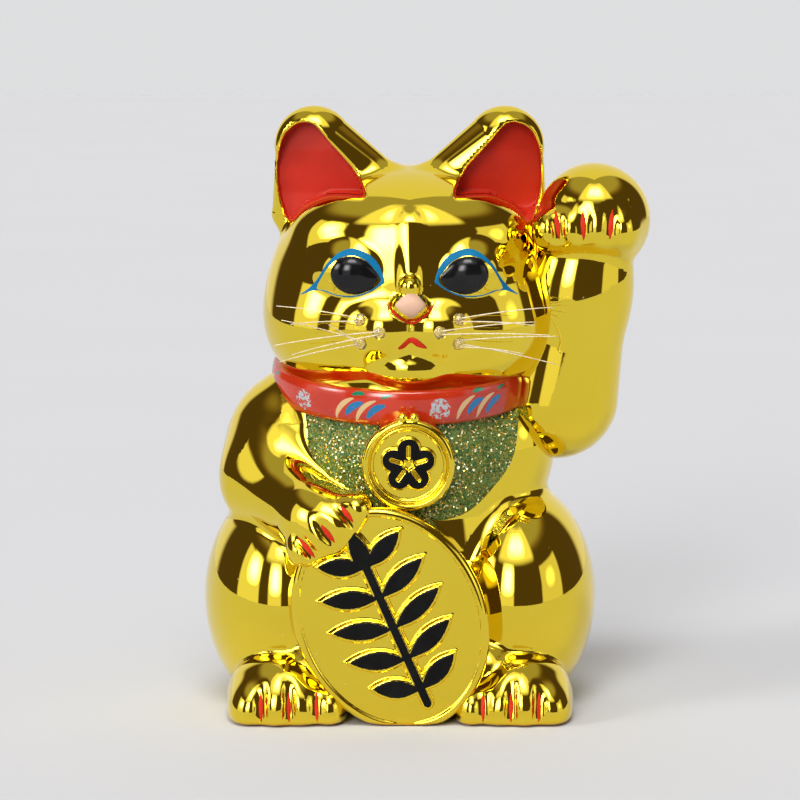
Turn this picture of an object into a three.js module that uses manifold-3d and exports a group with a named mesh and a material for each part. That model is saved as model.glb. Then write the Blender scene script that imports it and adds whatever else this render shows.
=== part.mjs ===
// A seated beckoning cat in gold-metallised ceramic, made as a coin bank. Millimetres, +Z up.
// The cat looks along -Y, so its own left side is at +X. Every place below is measured from the
// axis of the base stopper at table height; the last lines move the origin under the middle of the whole box.
import * as THREE from 'three';
import { mergeVertices } from 'three/addons/utils/BufferGeometryUtils.js';
import Module from 'manifold-3d';

const wasm = await Module();
wasm.setup();

// ---- Driving dimensions ----
const HEIGHT = 255;          // ear tips above the table
const WALL = 4;              // slip-cast wall
const FLOOR = 9;             // base thickness inside the foot recess
const GAP = 0.3;             // room between neighbouring pieces
const HEAD_X = 4;            // the head sits a little towards the raised arm
const HEAD_TOP = 230;
const THIGH_REACH = 84.5;    // from the axis to the outside of a thigh
const COLLAR_WIDTH = 15;
const COLLAR_TILT = THREE.MathUtils.degToRad(9);
const KOBAN_LONG = 97;       // the coin plaque's long and short axes
const KOBAN_SHORT = 79;
const KOBAN_TILT = THREE.MathUtils.degToRad(24);
const MEDALLION_RADIUS = 19;
const STOPPER_RADIUS = 22;
const WHISKER_RADIUS = 0.3;
const SLOT = [36, 40, 3.6];  // coin slot: width, depth of cut, height

// ---- Solids ----
const FINE = [24, 14];       // segments round and along a large form
const COARSE = [16, 9];

function solidFrom(geometry) {
  geometry.deleteAttribute('normal');
  geometry.deleteAttribute('uv');
  const merged = mergeVertices(geometry, 1e-4);
  const corners = merged.index.array;
  const kept = [];
  for (let i = 0; i < corners.length; i += 3) {
    const [a, b, c] = corners.slice(i, i + 3);
    if (a !== b && b !== c && a !== c) kept.push(a, b, c);
  }
  return new wasm.Manifold(new wasm.Mesh({
    numProp: 3,
    vertProperties: merged.attributes.position.array,
    triVerts: new Uint32Array(kept),
  }));
}

function geometryFrom(solid) {
  const mesh = solid.getMesh();
  const geometry = new THREE.BufferGeometry();
  geometry.setAttribute('position', new THREE.BufferAttribute(mesh.vertProperties, 3));
  geometry.setIndex(new THREE.BufferAttribute(mesh.triVerts, 1));
  geometry.computeVertexNormals();
  return geometry;
}

const joined = (solids) => solids.reduce((all, one) => all.add(one));

function box(size, centre) {
  return solidFrom(new THREE.BoxGeometry(...size).translate(...centre));
}

function cylinder(radius, low, high, [x, y], segments = 40) {
  const geometry = new THREE.CylinderGeometry(radius, radius, high - low, segments);
  return solidFrom(geometry.rotateX(Math.PI / 2).translate(x, y, (low + high) / 2));
}

// A form is an ellipsoid or a tapered limb with round ends. grow moves its surface outwards.
const ball = (centre, radii, segments = COARSE) => (grow) => {
  const [around, along] = grow < 0 ? COARSE : segments;
  const geometry = new THREE.SphereGeometry(1, around, along).rotateX(Math.PI / 2);
  geometry.scale(...radii.map((r) => r + grow)).translate(...centre);
  return solidFrom(geometry);
};

const limb = (from, fromRadius, to, toRadius, around = 18) => (grow) => {
  const a = new THREE.Vector3(...from);
  const b = new THREE.Vector3(...to);
  const length = a.distanceTo(b);
  const lean = Math.asin((fromRadius - toRadius) / length);
  const profile = [];
  const steps = 4;
  for (let i = 0; i <= steps; i++) {
    const angle = THREE.MathUtils.lerp(-Math.PI / 2, lean, i / steps);
    profile.push(new THREE.Vector2(Math.cos(angle), Math.sin(angle)).multiplyScalar(fromRadius + grow));
  }
  for (let i = 0; i <= steps; i++) {
    const angle = THREE.MathUtils.lerp(lean, Math.PI / 2, i / steps);
    const end = new THREE.Vector2(Math.cos(angle), Math.sin(angle)).multiplyScalar(toRadius + grow);
    profile.push(end.add(new THREE.Vector2(0, length)));
  }
  profile[0].x = 0;
  profile[profile.length - 1].x = 0;
  const geometry = new THREE.LatheGeometry(profile, around);
  const turn = new THREE.Quaternion().setFromUnitVectors(
    new THREE.Vector3(0, 1, 0), b.clone().sub(a).normalize());
  return solidFrom(geometry.applyQuaternion(turn).translate(...from));
};

// The outline that a belt makes round circles given anticlockwise as [x, y, radius].
function belt(circles, grow = 0) {
  const shape = new THREE.Shape();
  circles.forEach(([x, y, radius], i) => {
    const before = circles[(i + circles.length - 1) % circles.length];
    const after = circles[(i + 1) % circles.length];
    const start = tangentAngle(before, circles[i]);
    const end = tangentAngle(circles[i], after);
    shape.absarc(x, y, radius + grow, start, end < start ? end + 2 * Math.PI : end, false);
  });
  shape.closePath();
  return shape;
}

function tangentAngle([ax, ay, ar], [bx, by, br]) {
  const heading = Math.atan2(by - ay, bx - ax);
  return heading - Math.acos((ar - br) / Math.hypot(bx - ax, by - ay));
}

// A shape drawn on the XZ plane as seen from the front, pushed through from y = front to y = back.
function slab(shape, front, back, bevel = 0, curveSegments = 6) {
  const geometry = new THREE.ExtrudeGeometry(shape, {
    depth: back - front - 2 * bevel,
    bevelEnabled: bevel > 0,
    bevelThickness: bevel,
    bevelSize: bevel,
    bevelOffset: -bevel,
    bevelSegments: 2,
    curveSegments,
  });
  return solidFrom(geometry.rotateX(Math.PI / 2).translate(0, back - bevel, 0));
}

// ---- The casting's outer form ----
const mirrored = ([x, y, z], side) => [side * x, y, z];
const headed = ([x, y, z], side) => [HEAD_X + side * x, y, z];

const EAR = [[50, 212, 8], [40.5, HEIGHT - 16.5, 16.5], [12.5, 223.5, 11]];
const EAR_OPENING = [[49.5, 213, 3.5], [43.5, 240.5, 7.5], [23, 219, 2]];
const EAR_FRONT = -19;
const EAR_BACK = 3;
const EAR_DEPTH = 6;

const flipped = (circles, side) => (side > 0
  ? circles.map(([x, z, r]) => [HEAD_X + x, z, r])
  : circles.map(([x, z, r]) => [HEAD_X - x, z, r]).reverse());

const ear = (side) => (grow) => {
  const outline = belt(flipped(EAR, side), grow);
  const opening = belt(flipped(EAR_OPENING, side), -grow);
  return slab(outline, EAR_FRONT - grow, EAR_BACK + grow, 6)
    .subtract(slab(opening, EAR_FRONT - 10, EAR_FRONT + EAR_DEPTH - grow));
};

const thighs = (height, rise) => [-1, 1].map(
  (side) => ball(mirrored([THIGH_REACH - 35, -4, height], side), [35, 50, rise]));

const CORE = [
  ball([0, 10, 18], [72, 58, 42], FINE),                       // seat
  ball([0, 8, 62], [64, 58, 74], FINE),                        // belly
  ball([0, 10, 92], [52, 50, 62], FINE),                       // back
  ball([0, -6, 112], [54, 46, 38]),                            // chest
  ball([0, -2, 138], [51.5, 49.5, 24]),                        // neck
  ball([HEAD_X, -5, HEAD_TOP - 52], [60.5, 51, 52], FINE),     // head
];
const TRUNK = [...CORE, ...thighs(45, 49)];
const HOLLOW = [...CORE, ...thighs(51, 43)];                   // more clay is left under the thighs
const LOWERED_ARM = [
  ball([-50, -2, 103], [26, 32, 36]),                          // right shoulder
  limb([-56, -17, 95], 20, [-38, -47, 87], 16),                // right forearm, laid across the belly
  ball([-31, -56, 84.5], [17, 14, 17]),                        // right paw, holding the plaque's edge
];
const DETAILS = [
  ...[-1, 1].map((side) => ball(mirrored([51.5, -46, 9], side), [22.5, 23, 21])), // feet
  limb([-38, -40, 14], 15, [38, -40, 14], 15, 14),             // clay between the feet
  ...[-1, 1].map((side) => ball(headed([29, -14, 162], side), [30, 38, 25])),     // cheeks
  ball([HEAD_X, -17, 156], [34, 36, 22]),                      // jaw
  ...[-1, 1].map((side) => ball(headed([9.5, -48, 162], side), [13, 11, 11], [14, 8])), // whisker pads
  limb([HEAD_X, -48, 168], 9, [HEAD_X, -44, 196], 7, 12),      // bridge of the nose
  ball([HEAD_X, -44, 148.5], [11, 10.5, 8.5], [14, 8]),        // chin
  ball([46, -2, 110], [20, 30, 30]),                           // left shoulder
  limb([24, 60, 9], 9, [4, 67, 14], 8, 12),                    // tail, curled round the back
  limb([4, 67, 14], 8, [-12, 66, 24], 7, 12),
];
const EARS = [ear(-1), ear(1)];
const ARM = [
  limb([67, -4, 131], 27, [75, -9, 178], 22),                  // left upper arm and elbow
  limb([75, -9, 178], 22, [79, -12, 200], 21),                 // left wrist
  ball([81, -17, 208], [24.5, 24, 24.3], [24, 14]),            // left paw, folded forwards
];

const grown = (forms, grow) => joined(forms.map((form) => form(grow)));
const tableCut = (solid) => solid.subtract(box([400, 400, 100], [0, 0, -50]));
const skinCache = new Map();

// The outside of the body casting, moved outwards by grow.
function skin(grow) {
  if (!skinCache.has(grow)) {
    skinCache.set(grow, grown([...TRUNK, ...LOWERED_ARM, ...DETAILS, ...EARS], grow));
  }
  return skinCache.get(grow);
}
const arm = (grow) => grown(ARM, grow);

// ---- Castings ----
const STOPPER_AXIS = [0, 8];
const RECESS_RADIUS = 30;
const RECESS_DEPTH = 4.5;

function bodyCasting() {
  const inside = grown(HOLLOW, -WALL).subtract(box([400, 400, 100], [0, 0, FLOOR - 50]));
  const slot = box(SLOT, [0, 50, 121]);
  return tableCut(skin(0))
    .subtract(inside)
    .subtract(cylinder(STOPPER_RADIUS, -1, FLOOR + 4, STOPPER_AXIS))
    .subtract(cylinder(RECESS_RADIUS, -1, RECESS_DEPTH, STOPPER_AXIS))
    .subtract(slot);
}

function raisedArm() {
  const hollow = limb([50, -3, 128], 15, [67, -4, 131], 19)(0)
    .add(limb([67, -4, 131], 20, [75, -9, 178], 15)(0));
  return arm(0).subtract(skin(GAP)).subtract(hollow);
}

const COLLAR_CENTRE = [1.5, 0, 139];
const COLLAR_RADII = [55.5, 53];

function collarRing(grow) {
  const half = COLLAR_WIDTH / 2 + grow;
  const profile = [[0.84, -half], [0.985, -half], [1, -half + 1.5], [1, half - 1.5], [0.985, half],
    [0.84, half], [0.84, -half]];
  const ring = new THREE.LatheGeometry(profile.map(([r, z]) => new THREE.Vector2(r, z)), 40);
  ring.rotateX(Math.PI / 2).scale(COLLAR_RADII[0] + grow, COLLAR_RADII[1] + grow, 1);
  return solidFrom(ring.rotateX(COLLAR_TILT).translate(...COLLAR_CENTRE));
}

const collar = () => collarRing(0).subtract(skin(GAP)).subtract(arm(GAP));

// ---- The coin plaque and the medallion, each a casting with a black raised emblem ----
const KOBAN_CENTRE = [-4, -62.5, 44.5];
const KOBAN_THICK = 8;
const KOBAN_BACKING = 14;    // extra clay behind it, bedded on the belly
const KOBAN_LEAN = 0;        // its face stands upright

function ellipse(long, short) {
  const shape = new THREE.Shape();
  shape.absellipse(0, 0, short / 2, long / 2, 0, 2 * Math.PI, false, 0);
  return shape;
}

const placed = (solid, spin, lean, centre) => solid
  .rotate([0, THREE.MathUtils.radToDeg(-spin), 0])
  .rotate([THREE.MathUtils.radToDeg(-lean), 0, 0])
  .translate(centre);

function kobanPlate(grow) {
  const outline = ellipse(KOBAN_LONG + 2 * grow, KOBAN_SHORT + 2 * grow);
  const half = KOBAN_THICK / 2 + grow;
  const backed = slab(outline, -half, half + KOBAN_BACKING, 2.5, 20);
  return placed(backed, KOBAN_TILT, KOBAN_LEAN, KOBAN_CENTRE);
}

const koban = () => tableCut(kobanPlate(0)).subtract(skin(GAP));

const RELIEF = 1.8;
const STEM = 5;              // width of the bamboo sprig's stem
const SPRIG_STEP = 14;       // between the pairs of leaves
const LEAF = { reach: 25, rise: 9, width: 9 };

// A pointed leaf between two points.
function leaf([x0, z0], [x1, z1], width) {
  const length = Math.hypot(x1 - x0, z1 - z0);
  const [across, up] = [((z0 - z1) / length) * width, ((x1 - x0) / length) * width];
  const [x, z] = [(x0 + x1) / 2, (z0 + z1) / 2];
  const shape = new THREE.Shape();
  shape.moveTo(x0, z0);
  shape.quadraticCurveTo(x - across, z - up, x1, z1);
  shape.quadraticCurveTo(x + across, z + up, x0, z0);
  return shape;
}

function kobanEmblem() {
  const back = -KOBAN_THICK / 2 - GAP;
  const leaves = [leaf([0, 20], [0, 43], LEAF.width)];
  for (const row of [-2, -1, 0, 1, 2]) {
    const root = row * SPRIG_STEP - 4;
    for (const side of [-1, 1]) {
      const reach = side * (LEAF.reach - row * row * 1.5);
      leaves.push(leaf([-side, root], [reach, root + LEAF.rise], LEAF.width));
    }
  }
  const stem = belt([[0, -38, STEM / 2], [0, 26, STEM / 2]]);
  const sprig = [stem, ...leaves].map((shape) => slab(shape, back - RELIEF, back));
  return placed(joined(sprig), KOBAN_TILT, KOBAN_LEAN, KOBAN_CENTRE).subtract(skin(GAP));
}

const BIB_THICK = 0.7;
const MEDALLION_CENTRE = [3.5, -58.5, 108.5];
const MEDALLION_LEAN = THREE.MathUtils.degToRad(-1);  // it hangs a touch forwards

function medallion() {
  const r = MEDALLION_RADIUS;
  const profile = [[0, -3], [r - 1.5, -3], [r, -1.5], [r, 0.8], [r - 1.4, 2.2], [r - 3, 2.2],
    [r - 4, 1], [0, 1]];
  const disc = new THREE.LatheGeometry(profile.map(([x, y]) => new THREE.Vector2(x, y)), 32);
  disc.rotateX(Math.PI);
  const loop = slab(belt([[-2.5, r, 2], [2.5, r, 2]]), -1.5, 3, 0, 5);
  return placed(solidFrom(disc).add(loop), 0, MEDALLION_LEAN, MEDALLION_CENTRE)
    .subtract(skin(2 * GAP + BIB_THICK))
    .subtract(collarRing(GAP))
    .subtract(kobanPlate(GAP));
}

function medallionEmblem() {
  const petals = [...Array(5).keys()].map((i) => {
    const angle = Math.PI / 2 + (i * 2 * Math.PI) / 5;
    const petal = new THREE.Shape().absarc(6.4 * Math.cos(angle), 6.4 * Math.sin(angle), 5, 0, 2 * Math.PI);
    return slab(petal, -1 - GAP - 1.2, -1 - GAP, 0, 5);
  });
  return placed(joined(petals), 0, MEDALLION_LEAN, MEDALLION_CENTRE);
}

// ---- Coats of paint and glitter, thin solids that follow the casting ----
function coat(shape, thickness, grow = GAP) {
  const prism = slab(shape, -100, -12, 0, 5);
  return skin(grow + thickness).intersect(prism).subtract(skin(grow));
}

function bib() {
  const outline = new THREE.Shape();
  outline.moveTo(-45, 136).lineTo(-45, 112);
  outline.bezierCurveTo(-45, 94, -24, 82, 3, 81);
  outline.bezierCurveTo(28, 80, 48.5, 96, 48.5, 112);
  outline.lineTo(50, 136).closePath();
  const neighbours = [collarRing(GAP), kobanPlate(GAP), arm(GAP), grown(LOWERED_ARM, 2)];
  return neighbours.reduce((left, tool) => left.subtract(tool), coat(outline, BIB_THICK));
}

const EYE_X = 23.3;
const EYE_Z = 187;

const eye = (side) => ball(headed([EYE_X, -50, EYE_Z], side), [10.3, 4.2, 8.5], [16, 8])(0)
  .subtract(skin(GAP));

// A painted ring round the eye: thick above, thin below, running out to a point at the temple.
function eyeliner(side) {
  const at = (x, z) => [HEAD_X + side * (EYE_X + x), EYE_Z + z];
  const line = new THREE.Shape();
  line.moveTo(...at(-17, -2.5));
  line.bezierCurveTo(...at(-12, 12), ...at(8, 16), ...at(16, -1));
  line.quadraticCurveTo(...at(19, -6), ...at(24, -10));
  line.bezierCurveTo(...at(12, -9), ...at(6, -13), ...at(-3, -11.5));
  line.bezierCurveTo(...at(-10, -10), ...at(-12, -5), ...at(-17, -2.5));
  const white = new THREE.Path();
  white.moveTo(...at(-13.5, -1.5));
  white.bezierCurveTo(...at(-9, -12), ...at(7, -12), ...at(16, -7));
  white.bezierCurveTo(...at(10, 10.5), ...at(-8, 14), ...at(-13.5, -1.5));
  line.holes.push(white);
  return coat(line, 0.5).subtract(ball(headed([EYE_X, -50, EYE_Z], side), [10.6, 5, 8.8], [16, 8])(0));
}

const nosePad = () => ball([HEAD_X + 0.5, -60, 174.5], [5.6, 3.4, 4.8], [14, 8])(0).subtract(skin(GAP));

function mouth() {
  const shape = new THREE.Shape();
  shape.moveTo(4.5, 161).lineTo(-1.4, 156).lineTo(11, 156.5).closePath();
  return coat(shape, 0.5);
}

function earLining(side) {
  const opening = belt(flipped(EAR_OPENING, side), -GAP);
  const back = EAR_FRONT + EAR_DEPTH - GAP;
  return slab(opening, back - 1.2, back).subtract(grown(TRUNK, GAP)).subtract(arm(GAP));
}

// ---- Whiskers: nylon bristles set in drops of clear glue ----
const SOCKETS = [
  { name: 'upper', x: 20.5, z: 168.5 },
  { name: 'middle', x: 12.5, z: 163.5 },
  { name: 'lower', x: 20.3, z: 158.7 },
];
const DROP_RADIUS = 3;

// Tips as distances out from the head's middle, back to front, and above the table.
const WHISKERS = {
  right: [['upper', 55, -54, 174], ['upper', 49, -60, 167], ['middle', 55.5, -62, 158.5], ['middle', 48.5, -66, 155],
    ['lower', 52.5, -68, 169.5], ['lower', 54, -52, 150.5], ['lower', 33, -72, 168]],
  left: [['upper', 59, -54, 173.5], ['upper', 51.5, -60, 166.5], ['middle', 51.5, -65, 168.5], ['middle', 57, -70, 163.5],
    ['lower', 61, -56, 161.5], ['lower', 60.7, -52, 149.5], ['lower', 47, -62, 155]],
};

function socketPoint(side, { x, z }) {
  const ray = box([0.2, 200, 0.2], [HEAD_X + side * x, -100, z]).subtract(skin(0));
  return new THREE.Vector3(HEAD_X + side * x, ray.boundingBox().max[1], z);
}

function whisker(side, root, tip) {
  const end = new THREE.Vector3(HEAD_X + side * tip[0], tip[1], tip[2]);
  const middle = root.clone().lerp(end, 0.5).add(new THREE.Vector3(0, -3, 1.5));
  const path = new THREE.QuadraticBezierCurve3(root, middle, end);
  const section = new THREE.Shape().absarc(0, 0, 1, 0, 2 * Math.PI);
  return (grow) => {
    const scaled = new THREE.Shape(section.getPoints(2).slice(0, -1)
      .map((p) => p.multiplyScalar(WHISKER_RADIUS + grow)));
    return solidFrom(new THREE.ExtrudeGeometry(scaled, { steps: 6, bevelEnabled: false, extrudePath: path }));
  };
}

// Each side's whiskers and glue drops, as {name, solid} pairs.
function whiskerSet(sideName) {
  const side = sideName === 'left' ? 1 : -1;
  const pieces = [];
  for (const socket of SOCKETS) {
    const point = socketPoint(side, socket);
    const tips = WHISKERS[sideName].filter(([name]) => name === socket.name);
    const hairs = tips.map(([, ...tip], i) => {
      const spread = i - (tips.length - 1) / 2;
      const lift = spread * -1.5;
      return whisker(side, point.clone().add(new THREE.Vector3(0, -1.4, lift)), tip);
    });
    const drop = ball(point.toArray(), [DROP_RADIUS, DROP_RADIUS + 0.4, DROP_RADIUS], [10, 6])(0).subtract(skin(GAP));
    pieces.push({
      name: `whisker_glue_${sideName}_${socket.name}`,
      solid: hairs.reduce((left, hair) => left.subtract(hair(GAP)), drop),
      material: 'clear_glue',
    });
    hairs.forEach((hair, i) => pieces.push({
      name: `whisker_${sideName}_${socket.name}_${i + 1}`,
      solid: hair(0),
      material: 'nylon',
    }));
  }
  return pieces;
}

// ---- The base stopper: a soft hollow plug with a flange and a grip bar ----
function stopper() {
  const bore = STOPPER_RADIUS - GAP;
  const flange = RECESS_RADIUS - 3;
  const top = FLOOR + 3.5;
  const profile = [[0, 1.6], [flange, 1.6], [flange, RECESS_DEPTH - GAP], [bore, RECESS_DEPTH - GAP],
    [bore, FLOOR], [bore - 1.4, top], [bore - 3.5, top], [bore - 3.5, 5.6], [0, 5.6]];
  const body = solidFrom(new THREE.LatheGeometry(profile.map(([r, z]) => new THREE.Vector2(r, z)), 32)
    .rotateX(Math.PI / 2));
  const scoops = [-1, 1].map((side) => box([22, 7, 3], [0, side * 6, 2]));
  return scoops.reduce((left, scoop) => left.subtract(scoop), body).translate([...STOPPER_AXIS, 0]);
}

// ---- Materials ----
const finish = (color, roughness, metalness = 0) => new THREE.MeshStandardMaterial({ color, roughness, metalness });
const MATERIALS = {
  gold: finish('#e0b820', 0.06, 1),
  red_enamel: finish('#c8321a', 0.25),
  glitter: finish('#3c6b2a', 0.6),
  black_enamel: finish('#0b0b0d', 0.15),
  blue_enamel: finish('#1488c4', 0.3),
  pink_enamel: finish('#e2b7a2', 0.4),
  nylon: finish('#e8e2c8', 0.3),
  clear_glue: finish('#e8dfb0', 0.1),
  stopper_rubber: finish('#e9e6dc', 0.6),
};

// ---- The cat ----
const cat = new THREE.Group();

function add(name, solid, material) {
  const mesh = new THREE.Mesh(geometryFrom(solid), MATERIALS[material]);
  mesh.name = name;
  cat.add(mesh);
}

add('body_casting', bodyCasting(), 'gold');
add('raised_arm_casting', raisedArm(), 'gold');
add('koban_plaque', koban(), 'gold');
add('koban_emblem', kobanEmblem(), 'black_enamel');
add('medallion', medallion(), 'gold');
add('medallion_emblem', medallionEmblem(), 'black_enamel');
add('collar_band', collar(), 'red_enamel');
add('bib_glitter', bib(), 'glitter');
add('nose_pad', nosePad(), 'pink_enamel');
add('mouth', mouth(), 'red_enamel');
add('base_stopper', stopper(), 'stopper_rubber');
for (const [name, side] of [['right', -1], ['left', 1]]) {
  add(`ear_lining_${name}`, earLining(side), 'red_enamel');
  add(`eye_${name}`, eye(side), 'black_enamel');
  add(`eyeliner_${name}`, eyeliner(side), 'blue_enamel');
  for (const piece of whiskerSet(name)) add(piece.name, piece.solid, piece.material);
}

const bounds = new THREE.Box3().setFromObject(cat);
const middle = bounds.getCenter(new THREE.Vector3());
cat.position.set(-middle.x, -middle.y, -bounds.min.z);

export default cat;
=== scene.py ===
# Looks of the seated beckoning cat: mirror-gold ceramic, enamel, glitter, nylon whiskers, rubber stopper.
# Shapes are in millimetres in the cat's own frame, as in the CAD, and are turned into metres at the end.
import math

import bpy
import numpy as np
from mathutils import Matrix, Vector


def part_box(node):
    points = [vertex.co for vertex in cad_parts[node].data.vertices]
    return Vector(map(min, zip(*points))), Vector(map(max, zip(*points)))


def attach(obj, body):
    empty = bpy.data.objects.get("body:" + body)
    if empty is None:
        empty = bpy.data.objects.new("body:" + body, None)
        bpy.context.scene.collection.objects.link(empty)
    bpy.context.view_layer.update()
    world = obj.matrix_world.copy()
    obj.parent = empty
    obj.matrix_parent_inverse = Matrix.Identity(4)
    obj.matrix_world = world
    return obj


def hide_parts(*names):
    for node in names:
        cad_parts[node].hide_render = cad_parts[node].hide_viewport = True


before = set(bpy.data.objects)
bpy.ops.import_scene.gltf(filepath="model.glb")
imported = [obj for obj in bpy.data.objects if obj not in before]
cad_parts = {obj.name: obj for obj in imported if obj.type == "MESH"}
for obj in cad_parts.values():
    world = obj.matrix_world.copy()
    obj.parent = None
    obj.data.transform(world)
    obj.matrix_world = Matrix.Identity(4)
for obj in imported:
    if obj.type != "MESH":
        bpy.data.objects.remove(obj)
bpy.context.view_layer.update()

STOPPER_Y = 8.0     # the stopper's axis stands this far behind x = y = 0
stopper_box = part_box("base_stopper")
AXIS = (stopper_box[0] + stopper_box[1]) / 2
ORIGIN = np.array([AXIS.x, AXIS.y - STOPPER_Y / 1000, 0.0])
HEAD_X = 4.0        # the head sits a little towards the raised arm


def to_row(points):
    """Millimetres in the cat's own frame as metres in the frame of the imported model."""
    return np.asarray(points, float) / 1000 + ORIGIN


# ---------------------------------------------------------------- camera
CAMERA_DISTANCE = 1.4
CAMERA_RISE = math.radians(7.0)
AIM_Z = 0.1283
LENS, SENSOR = 146.3, 36
aim = Vector((float(ORIGIN[0]), float(ORIGIN[1]), AIM_Z))
camera = bpy.data.objects.new("camera", bpy.data.cameras.new("camera"))
bpy.context.scene.collection.objects.link(camera)
bpy.context.scene.camera = camera
camera.location = aim + Vector((0, -math.cos(CAMERA_RISE), math.sin(CAMERA_RISE))) * CAMERA_DISTANCE
camera.rotation_euler = (aim - camera.location).to_track_quat("-Z", "Y").to_euler()
camera.data.sensor_width = SENSOR
camera.data.lens = LENS


# ---------------------------------------------------------------- signed distances
def smin(a, b, k):
    """Joins two distances, with a fillet about k wide."""
    h = np.clip(0.5 + 0.5 * (b - a) / k, 0, 1)
    return b + (a - b) * h - k * h * (1 - h)


def smax(a, b, k):
    """Cuts one distance with another, with the edge rounded over about k."""
    return -smin(-a, -b, k)


def ellipsoid(p, centre, radii):
    q = p - np.float32(centre)
    r = np.float32(radii)
    k0 = np.sqrt(((q / r) ** 2).sum(-1))
    k1 = np.sqrt(((q / (r * r)) ** 2).sum(-1))
    return k0 * (k0 - 1) / np.maximum(k1, 1e-6)


def limb(p, a, ra, b, rb):
    """A tapered limb with round ends."""
    a, b = np.float32(a), np.float32(b)
    ab = b - a
    t = np.clip(((p - a) @ ab) / (ab @ ab), 0, 1)
    return np.sqrt(((p - a - t[..., None] * ab) ** 2).sum(-1)) - (ra + (rb - ra) * t)


def fat_triangle(p, corners, radii):
    """Distance to a triangle whose thickness runs evenly between its corners' radii."""
    a, b, c = (np.float32(v) for v in corners)
    d = np.minimum(limb(p, a, radii[0], b, radii[1]), limb(p, b, radii[1], c, radii[2]))
    d = np.minimum(d, limb(p, c, radii[2], a, radii[0]))
    n = np.cross(b - a, c - a)
    q = p - a
    w = n / (n @ n)
    v = (np.cross(q, c - a) * w).sum(-1)
    u = (np.cross(b - a, q) * w).sum(-1)
    inner = np.abs(q @ (n / np.linalg.norm(n))) - (radii[0] * (1 - v - u) + radii[1] * v + radii[2] * u)
    inside = (v >= 0) & (u >= 0) & (u + v <= 1)
    return np.where(inside, np.minimum(inner, d), d)


def smooth_loop(points, n=10):
    """A closed Catmull-Rom line through the points."""
    p = np.array(points, float)
    a, b, c, d = (np.roll(p, s, 0)[:, None] for s in (1, 0, -1, -2))
    t = np.linspace(0, 1, n, endpoint=False)[None, :, None]
    return (0.5 * (2 * b + (c - a) * t + (2 * a - 5 * b + 4 * c - d) * t ** 2
                   + (3 * b - a - 3 * c + d) * t ** 3)).reshape(-1, 2)


def polygon(x, z, loop):
    """Signed distance to a closed line, negative inside."""
    shape = x.shape
    p = np.stack([x.ravel(), z.ravel()], 1)
    best = np.full(len(p), 1e9)
    inside = np.zeros(len(p), bool)
    for a, b in zip(loop, np.roll(loop, -1, 0)):
        e, w = b - a, p - a
        t = np.clip((w @ e) / max(e @ e, 1e-12), 0, 1)
        best = np.minimum(best, ((w - t[:, None] * e) ** 2).sum(1))
        crosses = (a[1] > p[:, 1]) != (b[1] > p[:, 1])
        if abs(e[1]) > 1e-12:
            inside ^= crosses & (p[:, 0] < a[0] + e[0] * (p[:, 1] - a[1]) / e[1])
    d = np.sqrt(best)
    return np.where(inside, -d, d).reshape(shape)


class Plan:
    """A flat signed distance worked out once on a fine grid and looked up after that."""

    def __init__(self, make, low, high, step=0.3):
        self.low, self.step = np.array(low, float), step
        self.n = np.ceil((np.array(high) - self.low) / step).astype(int) + 1
        gx, gz = np.meshgrid(*(self.low[i] + step * np.arange(self.n[i]) for i in (0, 1)), indexing="ij")
        self.values = make(gx, gz).astype(np.float32)

    def __call__(self, x, z):
        fx = np.clip((x - self.low[0]) / self.step, 0, self.n[0] - 1.001)
        fz = np.clip((z - self.low[1]) / self.step, 0, self.n[1] - 1.001)
        i, j = fx.astype(int), fz.astype(int)
        u, v = fx - i, fz - j
        g = self.values
        return ((g[i, j] * (1 - u) + g[i + 1, j] * u) * (1 - v)
                + (g[i, j + 1] * (1 - u) + g[i + 1, j + 1] * u) * v)


def gradient(field, p, h=0.05):
    p = np.asarray(p, np.float32)
    out = np.empty(p.shape, np.float32)
    for axis in range(3):
        e = np.zeros(3, np.float32)
        e[axis] = h
        out[..., axis] = (field(p + e) - field(p - e)) / (2 * h)
    return out


def unit(v):
    return v / np.maximum(np.linalg.norm(v, axis=-1, keepdims=True), 1e-9)


# ---------------------------------------------------------------- the cat's forms
EAR_OUTLINE = smooth_loop([
    (46.4, 247.6), (40.5, 247.2), (33.6, 239.6), (28.3, 233.8), (23.2, 227.4), (19.2, 218.4), (26.2, 218.0),
    (34.6, 217.4), (44.0, 213.2), (50.6, 206.6), (53.6, 212.0), (55.4, 220.0), (55.6, 229.5), (54.2, 238.6),
    (51, 244.6)])
ear_plan = Plan(lambda x, z: polygon(x, z, EAR_OUTLINE), (5, 195), (70, 260), 0.4)


EAR_FLATTEN = 1.45   # how much thinner an ear is from front to back than across


def ear(p):
    """One ear in a frame where it is on the +X side of the head's middle."""
    q = p * np.float32([1, EAR_FLATTEN, 1])
    corners = [(40.4, -9 * EAR_FLATTEN, 238.2), (50.5, -2 * EAR_FLATTEN, 209), (13.5, -12 * EAR_FLATTEN, 222)]
    return fat_triangle(q, corners, (16.8, 8.3, 11)) * 0.85


def ear_scoop(p):
    """The hollow in an ear's front, deeper towards the head's middle and towards the tip."""
    floor = -4.2 - 6.5 * np.clip((54 - p[..., 0]) / 34, 0, 1.3) - 2.8 * np.clip((p[..., 2] - 218) / 18, 0, 1)
    return smax(ear_plan(p[..., 0], p[..., 2]), p[..., 1] - floor, 1.5)


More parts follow.
